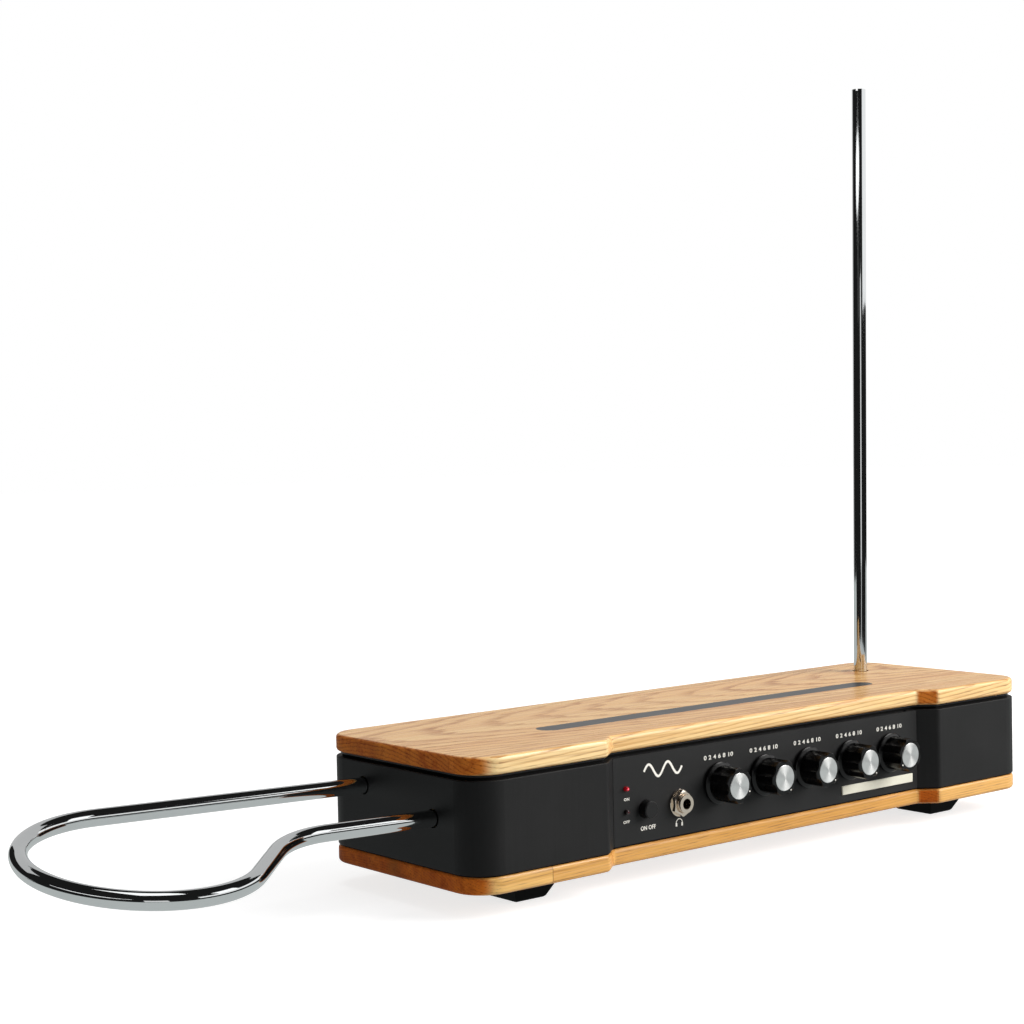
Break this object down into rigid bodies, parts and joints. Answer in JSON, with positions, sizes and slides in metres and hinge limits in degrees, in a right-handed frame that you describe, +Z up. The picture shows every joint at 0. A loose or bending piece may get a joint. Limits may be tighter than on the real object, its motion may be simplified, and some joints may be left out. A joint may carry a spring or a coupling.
{
  "type": "theremin",
  "caption": "Theremin with a recessed front panel between two wooden plates, an upright rod antenna for pitch and a side loop antenna for volume.",
  "frame": {"origin": "mouth of the stand thread, in the middle of the bottom plate's underside", "axes": "+X along the cabinet to the right, towards the rod antenna, +Y from the front panel to the rear panel, +Z up, towards the rod antenna's tip"},
  "size_m": [0.7341, 0.1784, 0.5082],
  "materials": {
    "oiled_wood": "oiled open-grained light hardwood, grain along the width, eased edges",
    "black_strip": "black strip, flush with the wood",
    "lid_steel": "dark grey steel, satin",
    "seal": "black sealing strip",
    "powder_coat": "black powder coat, satin, fine texture",
    "panel_coat": "black powder coat, satin",
    "nickel": "nickel plated brass",
    "zinc": "zinc plated steel",
    "foot_rubber": "black rubber",
    "brass": "plain brass",
    "board": "green circuit board",
    "knob_plastic": "glossy black moulded plastic",
    "cap_aluminium": "spun aluminium, bright",
    "button_plastic": "black plastic, satin",
    "dark_plastic": "black moulded plastic",
    "red_lens": "red lens, lit",
    "dark_red_lens": "dark red lens, unlit",
    "pale_plastic": "off-white nylon",
    "chips": "black packages and cans",
    "copper": "enamelled copper winding",
    "chrome_tube": "polished chrome plate"
  },
  "bodies": {
    "cabinet": {"top_plate": "oiled_wood", "top_inlay": "black_strip", "lid_plate": "lid_steel", "neck_gasket": "seal", "case_shell": "powder_coat", "bottom_gasket": "seal", "bottom_plate": "oiled_wood", "stand_bush": "nickel", "base_screws": "zinc", "foot_front_left": "foot_rubber", "foot_front_right": "foot_rubber", "foot_rear_left": "foot_rubber", "foot_rear_right": "foot_rubber", "tie_screws": "zinc", "top_inserts": "brass", "front_panel": "panel_coat", "panel_nuts": "zinc", "control_board": "board", "pots": "zinc", "pot_nuts": "nickel", "mute_switch": "dark_plastic", "power_led": "red_lens", "mute_led": "dark_red_lens", "phones_jack": "dark_plastic", "phones_jack_bush": "nickel", "phones_jack_nut": "nickel", "main_board": "board", "board_standoffs": "pale_plastic", "board_screws": "zinc", "board_parts": "chips", "antenna_coils": "copper", "pitch_socket": "brass", "volume_socket_front": "brass", "volume_socket_rear": "brass", "rear_panel": "panel_coat", "rear_panel_screws": "zinc", "rear_jack_bodies": "dark_plastic", "rear_jack_bushes": "nickel", "rear_jack_nuts": "nickel", "dc_inlet": "dark_plastic", "power_switch": "dark_plastic"},
    "phones_volume": {"shaft_phones_volume": "zinc", "knob_phones_volume": "knob_plastic", "cap_phones_volume": "cap_aluminium"},
    "volume_range": {"shaft_volume_range": "zinc", "knob_volume_range": "knob_plastic", "cap_volume_range": "cap_aluminium"},
    "pitch_range": {"shaft_pitch_range": "zinc", "knob_pitch_range": "knob_plastic", "cap_pitch_range": "cap_aluminium"},
    "waveform": {"shaft_waveform": "zinc", "knob_waveform": "knob_plastic", "cap_waveform": "cap_aluminium"},
    "brightness": {"shaft_brightness": "zinc", "knob_brightness": "knob_plastic", "cap_brightness": "cap_aluminium"},
    "mute_button": {"mute_button": "button_plastic"},
    "power_rocker": {"power_rocker": "button_plastic"},
    "pitch_antenna": {"pitch_antenna": "chrome_tube"},
    "volume_antenna": {"volume_antenna": "chrome_tube"}
  },
  "joints": [
    {"name": "phones_volume_turn", "type": "hinge", "parent": "cabinet", "child": "phones_volume", "pos_m": [-0.0475, -0.0645, 0.0383], "axis": [0, 1, 0], "range_deg": [-266, 34]},
    {"name": "volume_range_turn", "type": "hinge", "parent": "cabinet", "child": "volume_range", "pos_m": [-0.0079, -0.0645, 0.0383], "axis": [0, 1, 0], "range_deg": [-297, 3]},
    {"name": "pitch_range_turn", "type": "hinge", "parent": "cabinet", "child": "pitch_range", "pos_m": [0.0317, -0.0645, 0.0383], "axis": [0, 1, 0], "range_deg": [-288, 12]},
    {"name": "waveform_turn", "type": "hinge", "parent": "cabinet", "child": "waveform", "pos_m": [0.0713, -0.0645, 0.0383], "axis": [0, 1, 0], "range_deg": [-291, 9]},
    {"name": "brightness_turn", "type": "hinge", "parent": "cabinet", "child": "brightness", "pos_m": [0.1109, -0.0645, 0.0383], "axis": [0, 1, 0], "range_deg": [-23, 277]},
    {"name": "mute_button_press", "type": "slide", "parent": "cabinet", "child": "mute_button", "axis": [0, 1, 0], "range_m": [0, 0.0012], "stiffness_N_per_m": 1200},
    {"name": "power_rocker_tilt", "type": "hinge", "parent": "cabinet", "child": "power_rocker", "pos_m": [0.068, 0.068, 0.037], "axis": [1, 0, 0], "range_deg": [-16, 0]},
    {"name": "pitch_antenna_lift", "type": "slide", "parent": "cabinet", "child": "pitch_antenna", "axis": [0.0088, -0.0071, 0.9999], "range_m": [0, 0.06]},
    {"name": "volume_antenna_pull", "type": "slide", "parent": "cabinet", "child": "volume_antenna", "axis": [-0.9996, -0.0045, 0.0293], "range_m": [0, 0.045]}
  ]
}
